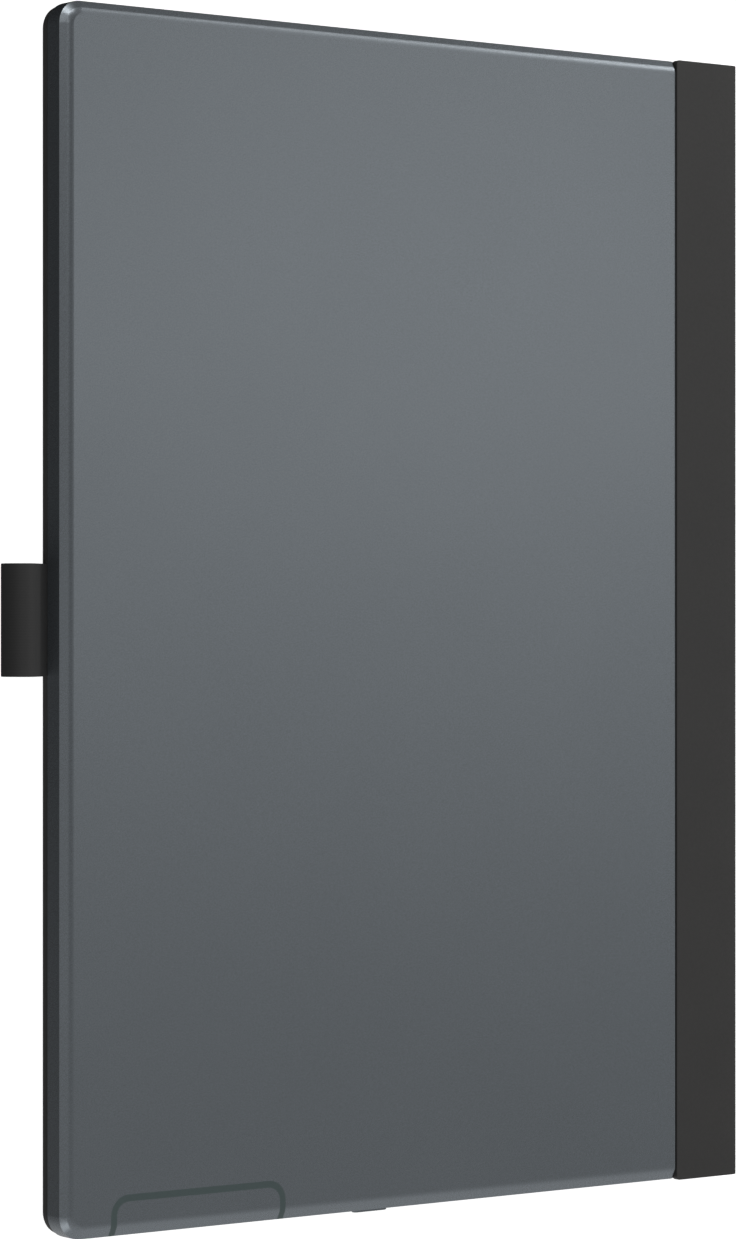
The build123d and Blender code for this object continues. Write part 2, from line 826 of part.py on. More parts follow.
contact_sheet = 0.15
contact_foot = (3.0, 5.0)
contact_arm = (1.2, 1.0)
contact_y = -device_end + 8.2

with BuildPart() as antenna_contact:
    with BuildSketch(level(board_top_z)):
        with Locations((antenna_x, contact_y)):
            Rectangle(*contact_foot)
    extrude(amount=contact_sheet)
    with BuildSketch(level(board_top_z)):
        with Locations((antenna_x, contact_y - (contact_foot[1] - contact_arm[1]) / 2)):
            Rectangle(*contact_arm)
    extrude(amount=inner_back_z - antenna_web - board_top_z)
save(antenna_contact, "antenna_contact")

flex_mid_z = paper_z + paper / 2
flex_top_z = board_z - 0.15
flex_end_y = -110.0

with BuildPart() as display_flex:
    with BuildSketch(Plane.YZ.offset(device_x + flex_x - flex_width / 2)):
        with BuildLine():
            Polyline(
                (flex_low_y, flex_mid_z),
                (flex_low_y - flex_out, flex_mid_z),
                (flex_low_y - flex_out, flex_top_z - flex / 2),
                (flex_end_y, flex_top_z - flex / 2),
                (flex_end_y, flex_top_z + flex / 2),
                (flex_low_y - flex_out - flex, flex_top_z + flex / 2),
                (flex_low_y - flex_out - flex, flex_mid_z - flex),
                (flex_low_y, flex_mid_z - flex),
                close=True,
            )
        make_face()
    extrude(amount=flex_width)
save(display_flex, "display_flex")

port_front_y = -device_end + 0.15
port_back_wall = 0.8
tongue_thickness = 0.7
tongue_side_room = 1.15
tongue_end_room = 0.8

with BuildPart() as usb_c_shell:
    with BuildSketch(Plane.XZ.offset(-port_front_y)):
        with Locations((device_x + port_x, port_z)):
            SlotOverall(port_width, port_height)
    extrude(amount=-port_depth)
    with BuildSketch(Plane.XZ.offset(-port_front_y)):
        with Locations((device_x + port_x, port_z)):
            SlotOverall(port_width - 2 * port_metal, port_height - 2 * port_metal)
    extrude(amount=-(port_depth - port_back_wall), mode=Mode.SUBTRACT)
save(usb_c_shell, "usb_c_shell")

with BuildPart() as usb_c_tongue:
    block(
        port_x,
        port_front_y + port_depth / 2,
        port_z - tongue_thickness / 2,
        port_z + tongue_thickness / 2,
        port_width - 2 * tongue_side_room,
        port_depth - 2 * tongue_end_room,
    )
save(usb_c_tongue, "usb_c_tongue")

# ======================================================================
# Power button: cap through the bottom wall, tactile switch and bracket
# ======================================================================
inner_wall_y = -device_end + wall
cap_round = 0.25
flange_thickness = 0.45
flange_side = 1.0  # the flange reaches this far past the cap at each end
flange_rise = 0.35
flange_corner = 0.4
cap_back_y = inner_wall_y + seat_gap + flange_thickness
switch_front_y = cap_back_y + button_travel + hole_gap
switch_width = 4.4
switch_depth = 1.8
switch_height = 1.8
plunger_width = 1.6
plunger_depth = 0.5
plunger_height = 0.8

with BuildPart() as power_button:
    with BuildSketch(Plane.XZ.offset(device_end + button_proud)):
        with Locations((device_x + button_x, button_z)):
            SlotOverall(button_length, button_height)
    extrude(amount=-(cap_back_y + device_end + button_proud))
    fillet(edges().group_by(Axis.Y)[0], radius=cap_round)
    with BuildSketch(Plane.XZ.offset(-(inner_wall_y + seat_gap))):
        with Locations((device_x + button_x, button_z)):
            RectangleRounded(
                button_length + 2 * flange_side,
                button_height + 2 * flange_rise,
                flange_corner,
            )
    extrude(amount=-flange_thickness)
save(power_button, "power_button")

with BuildPart() as power_switch:
    block_y = switch_front_y + plunger_depth + switch_depth / 2
    block(
        button_x,
        block_y,
        button_z - switch_height / 2,
        button_z + switch_height / 2,
        switch_width,
        switch_depth,
    )
    block(
        button_x,
        switch_front_y + plunger_depth / 2,
        button_z - plunger_height / 2,
        button_z + plunger_height / 2,
        plunger_width,
        plunger_depth,
    )
save(power_switch, "power_switch")

bracket_y = switch_front_y + plunger_depth + switch_depth
bracket_sheet = 0.3
bracket_width = 7.0
bracket_foot = 3.2
bracket_foot_z = front_z + 1.4
bracket_rise = 0.2  # above the switch

with BuildPart() as switch_bracket:
    block(
        button_x,
        bracket_y + bracket_sheet / 2,
        bracket_foot_z,
        button_z + switch_height / 2 + bracket_rise,
        bracket_width,
        bracket_sheet,
    )
    block(
        button_x,
        bracket_y + bracket_foot / 2,
        bracket_foot_z,
        bracket_foot_z + bracket_sheet,
        bracket_width,
        bracket_foot,
    )
save(switch_bracket, "switch_bracket")

# ======================================================================
# Magnets in the body: four under the strip, two that hold the cover shut
# ======================================================================
holding_x = strip_magnet_x - device_x
closure_x = -device_width / 2 + 7.6
closure_width = 3.6
closure_height = 1.6

with BuildPart() as holding_magnets:
    with BuildSketch(level(frame_top_z)):
        with Locations(*[(holding_x, y) for y in strip_magnet_rows]):
            Rectangle(*strip_magnet_size)
    extrude(amount=rebate_inner_z - frame_top_z)
save(holding_magnets, "holding_magnets")

with BuildPart() as closure_magnets:
    with BuildSketch(level(frame_top_z)):
        with Locations(*[(closure_x, y) for y in magnet_rows]):
            Rectangle(closure_width, magnet_size[1])
    extrude(amount=closure_height)
save(closure_magnets, "closure_magnets")
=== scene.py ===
import json
import math

import bmesh
import bpy
from mathutils import Matrix, Vector


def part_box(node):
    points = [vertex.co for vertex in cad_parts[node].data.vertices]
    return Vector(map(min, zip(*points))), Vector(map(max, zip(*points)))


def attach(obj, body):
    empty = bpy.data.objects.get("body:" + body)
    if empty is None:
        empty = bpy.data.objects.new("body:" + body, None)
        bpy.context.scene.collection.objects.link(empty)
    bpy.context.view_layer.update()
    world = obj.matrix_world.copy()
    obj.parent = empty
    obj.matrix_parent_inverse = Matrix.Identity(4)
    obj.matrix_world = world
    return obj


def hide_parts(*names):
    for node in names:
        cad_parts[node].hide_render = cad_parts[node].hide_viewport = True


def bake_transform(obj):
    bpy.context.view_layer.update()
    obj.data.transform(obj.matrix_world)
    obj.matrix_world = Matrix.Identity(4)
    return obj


# A slim electronic-paper notebook in a book-style folio, face down on its front cover.
# Metres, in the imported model's frame: +Z out of the aluminium back, +Y to the notebook's
# top, +X to the folio's spine.

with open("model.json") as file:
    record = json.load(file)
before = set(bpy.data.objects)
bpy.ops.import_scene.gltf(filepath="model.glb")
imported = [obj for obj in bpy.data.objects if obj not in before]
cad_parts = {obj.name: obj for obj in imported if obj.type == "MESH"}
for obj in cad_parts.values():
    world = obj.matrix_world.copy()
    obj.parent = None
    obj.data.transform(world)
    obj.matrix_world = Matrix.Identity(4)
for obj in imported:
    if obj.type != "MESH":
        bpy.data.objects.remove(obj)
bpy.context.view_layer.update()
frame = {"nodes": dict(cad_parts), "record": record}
nodes = frame["nodes"]
MM = 0.001

# ---- Sizes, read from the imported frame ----
cover_low, cover_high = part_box("cover_skin")
spine_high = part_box("spine_skin")[1]
strip_low, strip_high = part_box("strip_skin")
board_low, board_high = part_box("cover_board")
spine_board_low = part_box("spine_board")[0]
loop_low, loop_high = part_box("pen_loop")

LEAF = cover_high.z - cover_low.z
FREE_EDGE = cover_low.x
SPINE_FACE = spine_high.x
BACK = strip_high.z
LEAF_END = board_high.x
COVER_HALF = cover_high.y
STRIP_HALF = strip_high.y
STRIP_EDGE = strip_low.x
COVER_CORNER = 4.8 * MM
STRIP_CORNER = 0.9 * MM
COVER_EDGE = 0.42 * MM
STRIP_EDGE_ROUND = 0.16 * MM
FOLD_RADIUS = 0.45 * MM

# ---- Camera, at the photograph's angle ----
PICTURE_HEIGHT = 1239
FOCAL_PIXELS = 4221.1
TURN = math.radians(36.364)
AIM = Vector((-5.025 * MM, 0.12 * MM, 3.7 * MM))
DISTANCE = 884.3 * MM
SENSOR_WIDTH = 36.0
NEAREST_SEEN = 0.01
FARTHEST_SEEN = 20.0


def make_camera():
    """Camera on the free-edge side, level with the notebook's middle, its picture's up along +Y."""
    data = bpy.data.cameras.new("camera")
    data.sensor_width = SENSOR_WIDTH
    data.lens = FOCAL_PIXELS * SENSOR_WIDTH / PICTURE_HEIGHT
    data.clip_start = NEAREST_SEEN
    data.clip_end = FARTHEST_SEEN
    camera = bpy.data.objects.new("camera", data)
    bpy.context.scene.collection.objects.link(camera)
    forward = Vector((math.sin(TURN), 0.0, -math.cos(TURN)))
    camera.location = AIM - forward * DISTANCE
    # A camera looks down its own -Z with its own +Y up, so turning it about +Y keeps +Y up.
    camera.rotation_euler = (0.0, -TURN, 0.0)
    bpy.context.scene.camera = camera


make_camera()


# ======================================================================
# Material helpers: every colour, roughness and bump comes from nodes
# ======================================================================
# One period of the wave texture spans pi / 10 of its own units.
WAVE_PERIOD = math.pi / 10.0


class Shader:
    """A Principled material whose textures use the model's frame, so patterns run on across pieces."""

    def __init__(self, name, metallic=0.0, **constants):
        self.material = bpy.data.materials.new(name)
        self.material.use_nodes = True
        self.nodes = self.material.node_tree.nodes
        self.links = self.material.node_tree.links
        self.shader = self.nodes["Principled BSDF"]
        self.shader.inputs["Metallic"].default_value = metallic
        for socket, value in constants.items():
            self.shader.inputs[socket.replace("_", " ")].default_value = value
        self.place = self.nodes.new("ShaderNodeTexCoord").outputs["Object"]
        self.normal = None

    def stretched(self, stretch):
        """Coordinates scaled per axis, for patterns that run one way."""
        mapping = self.nodes.new("ShaderNodeMapping")
        mapping.inputs["Scale"].default_value = stretch
        self.links.new(self.place, mapping.inputs["Vector"])
        return mapping.outputs["Vector"]

    def noise(self, size, detail=3.0, roughness=0.55, place=None):
        """Noise whose features are about size metres across."""
        node = self.nodes.new("ShaderNodeTexNoise")
        node.inputs["Scale"].default_value = 1.0 / size
        node.inputs["Detail"].default_value = detail
        node.inputs["Roughness"].default_value = roughness
        self.links.new(place or self.place, node.inputs["Vector"])
        return node.outputs["Fac"]

    def cells(self, size, feature="F1"):
        """Voronoi cells about size metres across."""
        node = self.nodes.new("ShaderNodeTexVoronoi")
        node.feature = feature
        node.inputs["Scale"].default_value = 1.0 / size
        self.links.new(self.place, node.inputs["Vector"])
        return node.outputs["Distance"]

    def waves(self, size, direction, distortion):
        """Straight bands of the given pitch along X, Y or Z."""
        node = self.nodes.new("ShaderNodeTexWave")
        node.bands_direction = direction
        node.inputs["Scale"].default_value = WAVE_PERIOD / size
        node.inputs["Distortion"].default_value = distortion
        self.links.new(self.place, node.inputs["Vector"])
        return node.outputs["Fac"]

    def spread(self, value, low, high, start=0.3, stop=0.7):
        """A value mapped to a range."""
        node = self.nodes.new("ShaderNodeMapRange")
        node.inputs["From Min"].default_value = start
        node.inputs["From Max"].default_value = stop
        node.inputs["To Min"].default_value = low
        node.inputs["To Max"].default_value = high
        self.links.new(value, node.inputs["Value"])
        return node.outputs["Result"]

    def blend(self, value, first, second, start=0.3, stop=0.7):
        """Two colours mixed by a value."""
        node = self.nodes.new("ShaderNodeValToRGB")
        node.color_ramp.elements[0].position = start
        node.color_ramp.elements[0].color = (*first, 1.0)
        node.color_ramp.elements[1].position = stop
        node.color_ramp.elements[1].color = (*second, 1.0)
        self.links.new(value, node.inputs["Fac"])
        return node.outputs["Color"]

    def total(self, first, second, share=0.5):
        """Two values mixed, the second by its share."""
        node = self.nodes.new("ShaderNodeMix")
        node.inputs["Factor"].default_value = share
        self.links.new(first, node.inputs["A"])
        self.links.new(second, node.inputs["B"])
        return node.outputs["Result"]

    def colour(self, output):
        self.links.new(output, self.shader.inputs["Base Color"])

    def rough(self, output):
        self.links.new(output, self.shader.inputs["Roughness"])

    def bump(self, height, depth, strength):
        """Relief of the given depth in metres; a second call adds to the first."""
        node = self.nodes.new("ShaderNodeBump")
        node.inputs["Strength"].default_value = strength
        node.inputs["Distance"].default_value = depth
        self.links.new(height, node.inputs["Height"])
        if self.normal is not None:
            self.links.new(self.normal, node.inputs["Normal"])
        self.normal = node.outputs["Normal"]
        self.links.new(self.normal, self.shader.inputs["Normal"])


def shade(colour, factor):
    """A colour made darker or lighter."""
    return tuple(channel * factor for channel in colour)


# ======================================================================
# Materials, one function each, or a row of the table for plain inner pieces
# ======================================================================
SHELL_COLOUR = (0.235, 0.262, 0.285)


def anodised(name, colour):
    """Bead-blasted, anodised aluminium: fine sparkle, slow variation and soft peened relief."""
    s = Shader(
        name, metallic=0.55, Specular_IOR_Level=0.35, Coat_Weight=0.12, Coat_Roughness=0.2
    )
    grain = s.noise(0.09 * MM, detail=2.0)
    cloud = s.noise(30 * MM, detail=2.0)
    s.colour(s.blend(s.total(grain, cloud, 0.3), shade(colour, 0.96), shade(colour, 1.04)))
    s.rough(s.spread(grain, 0.24, 0.3))
    s.bump(s.cells(0.14 * MM), 0.003 * MM, 0.35)
    return s.material


def antenna_plastic():
    """Moulded plastic, flush in the metal: finer relief, a greener and darker grey."""
    s = Shader("antenna_plastic", Specular_IOR_Level=0.4)
    colour = (0.081, 0.112, 0.112)
    grain = s.noise(0.12 * MM)
    s.colour(s.blend(grain, shade(colour, 0.93), shade(colour, 1.07)))
    s.rough(s.spread(grain, 0.42, 0.52))
    s.bump(s.noise(0.2 * MM), 0.004 * MM, 0.3)
    return s.material


def leather():
    """Matte black synthetic leather: pebbled grain with fine creases between the pebbles."""
    s = Shader("folio_leather", Specular_IOR_Level=0.32, Sheen_Weight=0.08, Sheen_Roughness=0.6)
    colour = (0.0458, 0.0448, 0.0437)
    pebbles = s.cells(0.42 * MM, "SMOOTH_F1")
    creases = s.noise(0.9 * MM, detail=4.0)
    wear = s.noise(18 * MM, detail=3.0)
    s.colour(s.blend(s.total(creases, wear, 0.5), shade(colour, 0.9), shade(colour, 1.1)))
    s.rough(s.spread(s.total(pebbles, wear, 0.4), 0.5, 0.66))
    s.bump(pebbles, 0.018 * MM, 0.35)
    s.bump(creases, 0.012 * MM, 0.3)
    return s.material


def microfibre():
    """Brushed microfibre: short nap with a drift in its lie."""
    s = Shader("folio_lining", Specular_IOR_Level=0.15, Sheen_Weight=0.35, Sheen_Roughness=0.45)
    colour = (0.052, 0.052, 0.055)
    nap = s.noise(0.25 * MM, detail=4.0, place=s.stretched((1.0, 0.45, 1.0)))
    lie = s.noise(22 * MM, detail=3.0)
    s.colour(s.blend(s.total(nap, lie, 0.4), shade(colour, 0.78), shade(colour, 1.25)))
    s.rough(s.spread(nap, 0.82, 0.96))
    s.bump(nap, 0.05 * MM, 0.6)
    return s.material


def loop_elastic():
    """Smooth woven elastic, black, with ribs along the band's length across the loop."""
    s = Shader("loop_elastic", Specular_IOR_Level=0.3, Sheen_Weight=0.05, Sheen_Roughness=0.5)
    colour = (0.041, 0.041, 0.041)
    ribs = s.waves(0.55 * MM, "Y", 0.15)
    thread = s.noise(0.3 * MM, detail=3.0, place=s.stretched((1.0, 3.0, 1.0)))
    s.colour(s.blend(s.total(ribs, thread, 0.7), shade(colour, 0.94), shade(colour, 1.06)))
    s.rough(s.spread(thread, 0.5, 0.62))
    s.bump(ribs, 0.01 * MM, 0.25)
    s.bump(thread, 0.012 * MM, 0.35)
    return s.material


def clear(name, tint, alpha, roughness):
    """A clear sheet: faint tint, etched or smooth, mostly see-through."""
    s = Shader(name, Alpha=alpha, Specular_IOR_Level=0.5)
    etch = s.noise(0.15 * MM, detail=2.0)
    s.colour(s.blend(etch, shade(tint, 0.96), tint))
    s.rough(s.spread(etch, roughness - 0.03, roughness + 0.03))
    s.bump(etch, 0.002 * MM, 0.2)
    return s.material


def paper_film():
    """Electronic paper: pale grey with the fine salt and pepper of its capsules."""
    s = Shader("paper_film", Specular_IOR_Level=0.3)
    colour = (0.50, 0.51, 0.475)
    capsules = s.cells(0.09 * MM)
    cloud = s.noise(25 * MM, detail=2.0)
    s.colour(s.blend(s.total(capsules, cloud, 0.5), shade(colour, 0.94), shade(colour, 1.04)))
    s.rough(s.spread(capsules, 0.62, 0.7))
    s.bump(capsules, 0.002 * MM, 0.2)
    return s.material


def circuit_board():
    """Solder mask over copper: tracks show as raised, lighter bands."""
    s = Shader("circuit_board", Specular_IOR_Level=0.5)
    tracks = s.waves(0.9 * MM, "X", 2.5)
    islands = s.noise(4 * MM, detail=1.0)
    s.colour(s.blend(s.total(tracks, islands, 0.4), (0.008, 0.05, 0.032), (0.02, 0.12, 0.075), 0.4, 0.6))
    s.rough(s.spread(islands, 0.28, 0.4))
    s.bump(tracks, 0.02 * MM, 0.5)
    return s.material


def cell_foil():
    """Aluminium laminate pouch with shallow crumples."""
    s = Shader("cell_foil", metallic=0.85)
    crumple = s.noise(6 * MM, detail=3.0)
    fine = s.noise(0.4 * MM)
    s.colour(s.blend(fine, (0.5, 0.51, 0.52), (0.62, 0.63, 0.64)))
    s.rough(s.spread(crumple, 0.28, 0.42))
    s.bump(crumple, 0.12 * MM, 0.5)
    return s.material


# Name: colour, metallic, roughness low and high, grain size in mm, relief in mm.
PLAIN = {
    "bezel_plastic": ((0.036, 0.04, 0.043), 0.0, 0.5, 0.62, 0.18, 0.01),
    "mask_print": ((0.034, 0.038, 0.041), 0.0, 0.4, 0.5, 0.2, 0.002),
    "fibre_board": ((0.2, 0.18, 0.15), 0.0, 0.75, 0.9, 0.6, 0.03),
    "spring_steel": ((0.45, 0.45, 0.46), 0.95, 0.25, 0.4, 0.3, 0.004),
    "magnet_nickel": ((0.62, 0.61, 0.58), 1.0, 0.18, 0.3, 0.5, 0.003),
    "led_epoxy": ((0.8, 0.7, 0.3), 0.0, 0.2, 0.3, 0.2, 0.004),
    "digitizer_laminate": ((0.09, 0.09, 0.1), 0.0, 0.35, 0.5, 0.4, 0.004),
    "foam_tape": ((0.025, 0.025, 0.025), 0.0, 0.8, 0.95, 0.15, 0.03),
    "flex_film": ((0.42, 0.2, 0.045), 0.0, 0.3, 0.42, 0.8, 0.006),
    "frame_magnesium": ((0.4, 0.4, 0.39), 0.8, 0.45, 0.6, 0.25, 0.012),
    "screw_steel": ((0.3, 0.3, 0.31), 1.0, 0.25, 0.4, 0.2, 0.004),
    "lead_insulation": ((0.03, 0.03, 0.03), 0.0, 0.4, 0.55, 0.3, 0.006),
    "shield_nickel": ((0.62, 0.6, 0.57), 1.0, 0.22, 0.36, 0.7, 0.006),
    "chip_epoxy": ((0.03, 0.03, 0.032), 0.0, 0.5, 0.65, 0.12, 0.006),
    "connector_plastic": ((0.04, 0.04, 0.042), 0.0, 0.38, 0.5, 0.2, 0.006),
    "contact_gold": ((0.8, 0.6, 0.26), 1.0, 0.18, 0.3, 0.3, 0.003),
    "port_steel": ((0.5, 0.5, 0.5), 1.0, 0.22, 0.34, 0.25, 0.003),
    "switch_body": ((0.05, 0.05, 0.052), 0.0, 0.4, 0.55, 0.2, 0.006),
}


# How much larger the mottling is than the grain.
MOTTLE_TO_GRAIN = 12


def plain(name):
    """Moulded, cast or plated finish from the table: mottled colour, uneven gloss, fine relief."""
    colour, metallic, low, high, grain, relief = PLAIN[name]
    s = Shader(name, metallic=metallic)
    fine = s.noise(grain * MM)
    broad = s.noise(MOTTLE_TO_GRAIN * grain * MM, detail=2.0)
    mottle = s.total(fine, broad, 0.5)
    s.colour(s.blend(mottle, shade(colour, 0.88), shade(colour, 1.1)))
    s.rough(s.spread(mottle, low, high))
    s.bump(fine, relief * MM, 0.4)
    return s.material


materials = {name: plain(name) for name in PLAIN}
materials["shell_aluminium"] = anodised("shell_aluminium", SHELL_COLOUR)
materials["button_aluminium"] = anodised("button_aluminium", shade(SHELL_COLOUR, 0.96))
materials["antenna_plastic"] = antenna_plastic()
materials["folio_leather"] = leather()
materials["folio_lining"] = microfibre()
materials["loop_elastic"] = loop_elastic()
materials["paper_film"] = paper_film()
materials["circuit_board"] = circuit_board()
materials["cell_foil"] = cell_foil()
materials["lens_glass"] = clear("lens_glass", (0.8, 0.82, 0.81), 0.04, 0.32)
materials["clear_film"] = clear("clear_film", (0.85, 0.87, 0.86), 0.012, 0.12)
materials["guide_acrylic"] = clear("guide_acrylic", (0.85, 0.88, 0.88), 0.015, 0.1)

for entry in frame["record"]["subparts"]:
    mesh = nodes[entry["node"]].data
    mesh.materials.clear()
    mesh.materials.append(materials[entry["material_slot"]])

# Clear layers bonded with matched adhesive show no surface of their own behind the lens.
for bonded in ("lens_adhesive", "touch_sensor", "light_guide"):
    layer = nodes[bonded]
    layer.visible_camera = False
    layer.visible_diffuse = False
    layer.visible_glossy = False
    layer.visible_shadow = False


# ======================================================================
# Mesh helpers
# ======================================================================
MERGE_DISTANCE = 0.0001 * MM
SHARP_ANGLE = math.radians(35.0)
LEAST_CORNER = 0.05 * MM


def finish_mesh(name, mesh, material):
    """Object from a bmesh, smooth except at sharp edges."""
    bmesh.ops.remove_doubles(mesh, verts=mesh.verts, dist=MERGE_DISTANCE)
    bmesh.ops.recalc_face_normals(mesh, faces=mesh.faces)
    data = bpy.data.meshes.new(name)
    mesh.to_mesh(data)
    mesh.free()
    data.shade_smooth()
    data.set_sharp_from_angle(angle=SHARP_ANGLE)
    data.materials.append(material)
    thing = bpy.data.objects.new(name, data)
    bpy.context.scene.collection.objects.link(thing)
    weighted = thing.modifiers.new("even_normals", "WEIGHTED_NORMAL")
    weighted.keep_sharp = True
    return thing


def leaf_outline(start, end, half, corner, inset, steps=10):
    """Points round a leaf's outline, corners rounded at its free edge, square at its spine end."""
    radius = max(corner - inset, LEAST_CORNER)
    points = [(end, -half + inset)]
    sweep = quarter_turn(steps)
    for side, turns in ((-1, sweep), (1, reversed(sweep))):
        x = start + inset + radius
        y = side * (half - inset - radius)
        points += [(x - radius * math.sin(a), y + side * radius * math.cos(a)) for a in turns]
    points.append((end, half - inset))
    return points


def quarter_turn(steps=5):
    """Angles from 0 to 90 degrees in equal steps."""
    return [(math.pi / 2) * i / steps for i in range(steps + 1)]


def rounded_rim(low, high, edge):
    """Rim of a sheet as (inset, level), both edges rounded."""
    lower = [(edge * (1 - math.sin(a)), low + edge * (1 - math.cos(a))) for a in quarter_turn()]
    upper = [(inset, low + high - level) for inset, level in reversed(lower)]
    return lower + upper


def flat_leaf(start, end, half, corner, rim, cuts):
    """A closed flat leaf with the given rim on its three free sides, cut across at the given places."""
    mesh = bmesh.new()
    loops = []
    for inset, level in rim:
        outline = leaf_outline(start, end, half, corner, inset)
        loops.append([mesh.verts.new((x, y, level)) for x, y in outline])
    for below, above in zip(loops, loops[1:]):
        for i in range(len(below) - 1):
            mesh.faces.new((below[i], below[i + 1], above[i + 1], above[i]))
    mesh.faces.new(loops[0])
    mesh.faces.new(loops[-1])
    mesh.faces.new([loop[0] for loop in loops] + [loop[-1] for loop in reversed(loops)])
    for place in cuts:
        everything = mesh.verts[:] + mesh.edges[:] + mesh.faces[:]
        bmesh.ops.bisect_plane(mesh, geom=everything, plane_co=(place, 0, 0), plane_no=(1, 0, 0))
    return mesh


# ======================================================================
# Folio leather and lining. Each leaf is made flat, with s along it from its
# free edge, then pressed thin at the fold and bent up the spine. The back
# strip's leaf is the front cover's, mirrored top to bottom and cut shorter.
# ======================================================================
BEND_START = SPINE_FACE - FOLD_RADIUS
BEND_LENGTH = FOLD_RADIUS * math.pi / 2
BEND_END = BEND_START + BEND_LENGTH
SPINE_BOARD_FOOT = spine_board_low.z
SPINE_BOARD_START = BEND_END + SPINE_BOARD_FOOT - FOLD_RADIUS
SPINE_MIDDLE = BEND_END + BACK / 2 - FOLD_RADIUS
FOLD_THICKNESS = 0.40 * MM
SPINE_HALF = (COVER_HALF + STRIP_HALF) / 2
PRESS_RAMP = 0.45 * MM
# Two points on a fold's turning line, between the inner edge of one board's leather and that of the next,
# measured along the diagonal through the crease, placed so that neither leaf would swing into the notebook.
# The script only works out these points; nothing turns about them.
TURN_START = LEAF / 2
TURN_END = (SPINE_FACE - LEAF - LEAF_END + SPINE_BOARD_FOOT) / 2
LINING_INSET = 1.5 * MM
LINING_GAP = 0.08 * MM
LINING_DEPTH = 0.2 * MM
LINING_ROUND = 0.06 * MM
LINING_LEAST_CORNER = 0.4 * MM
RAMP_CUTS = 4
ARC_CUTS = 20


def smooth(value):
    """0 to 1 with level ends, and flat beyond them."""
    value = min(max(value, 0.0), 1.0)
    return value * value * (3 - 2 * value)


def pressed(s):
    """How much thinner the leaf is here: nothing over the boards, most of it between them."""
    past_cover = smooth((s - LEAF_END) / PRESS_RAMP)
    before_spine = smooth((SPINE_BOARD_START - s) / PRESS_RAMP)
    return (LEAF - FOLD_THICKNESS) * past_cover * before_spine


def bend_leaf(mesh, half, mirrored):
    """Presses and bends a flat leaf whose level 0 is the outer face, and brings it to the spine's length."""
    for vertex in mesh.verts:
        s, y, depth = vertex.co
        depth -= pressed(s) * depth / LEAF
        y *= 1 + (SPINE_HALF / half - 1) * smooth((s - LEAF_END) / (SPINE_MIDDLE - LEAF_END))
        if s <= BEND_START:
            x, z = s, depth
        elif s <= BEND_END:
            turn = (s - BEND_START) / FOLD_RADIUS
            x = BEND_START + (FOLD_RADIUS - depth) * math.sin(turn)
            z = FOLD_RADIUS - (FOLD_RADIUS - depth) * math.cos(turn)
        else:
            x, z = SPINE_FACE - depth, FOLD_RADIUS + s - BEND_END
        vertex.co = (x, y, BACK - z if mirrored else z)


def fold_cuts():
    """Where a leaf is cut across so that it can be pressed and bent."""
    ramp = [PRESS_RAMP * i / RAMP_CUTS for i in range(RAMP_CUTS + 1)]
    down = [LEAF_END + step for step in ramp]
    up = [SPINE_BOARD_START - step for step in ramp]
    arc = [BEND_START + BEND_LENGTH * i / ARC_CUTS for i in range(ARC_CUTS + 1)]
    return sorted(set(down + up + arc))


def leather_rim(edge):
    """Rounded edges, then a shallow recess that the lining is glued into."""
    lip = [(LINING_INSET - LINING_GAP, LEAF), (LINING_INSET, LEAF - LINING_DEPTH)]
    return rounded_rim(0.0, LEAF, edge) + lip


def folio_leaf(name, start, half, corner, edge, mirrored, stands_for):
    """One leaf's leather and lining, from its free edge round the fold to the middle of the spine."""
    fold = [(LEAF_END + turn, 0.0, turn) for turn in (TURN_START, TURN_END)]
    if mirrored:
        fold = [(x, y, BACK - z) for x, y, z in reversed(fold)]
    lining_rim = rounded_rim(LEAF - LINING_DEPTH, LEAF, LINING_ROUND)
    parts = (
        ("leather", "folio_leather", start, half, corner, leather_rim(edge)),
        (
            "lining",
            "folio_lining",
            start + LINING_INSET,
            half - LINING_INSET,
            max(corner - LINING_INSET, LINING_LEAST_CORNER),
            lining_rim,
        ),
    )
    for (part, slot, low, reach, round_to, rim), covered in zip(parts, stands_for):
        mesh = flat_leaf(low, SPINE_MIDDLE, reach, round_to, rim, fold_cuts())
        bend_leaf(mesh, half, mirrored)
        piece = finish_mesh(f"{name}_{part}", mesh, materials[slot])
        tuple(fold[0])
        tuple(fold[1])
        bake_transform(piece)
        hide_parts(*covered)


folio_leaf(
    "front_cover",
    FREE_EDGE,
    COVER_HALF,
    COVER_CORNER,
    COVER_EDGE,
    False,
    (("cover_skin", "spine_skin"), ("cover_lining", "spine_lining")),
)
folio_leaf(
    "back_strip",
    STRIP_EDGE,
    STRIP_HALF,
    STRIP_CORNER,
    STRIP_EDGE_ROUND,
    True,
    (("strip_skin",), ("strip_lining",)),
)


# ======================================================================
# Pen loop: a flat elastic band, doubled, its two ends in the cover's edge
# ======================================================================
LOOP_BAND = 0.6 * MM
LOOP_EDGE = 0.2 * MM
LOOP_HALF = loop_high.y
LOOP_RADIUS = loop_high.z / 2
LOOP_CENTRE = (loop_low.x + LOOP_RADIUS, LOOP_RADIUS)
LOOP_MOUTH = (FREE_EDGE, (board_low.z + board_high.z) / 2)
LOOP_LINE_RADIUS = LOOP_RADIUS - LOOP_BAND / 2
LOOP_TUCK = 3.0 * MM


def tangent_turn(mouth, side):
    """Angle on the loop's circle where the straight run from the mouth meets it, above (1) or below (-1)."""
    across = mouth[0] - LOOP_CENTRE[0]
    drop = LOOP_CENTRE[1] - mouth[1]
    spread = math.acos(LOOP_LINE_RADIUS / math.hypot(across, drop))
    return side * spread - math.atan2(drop, across)


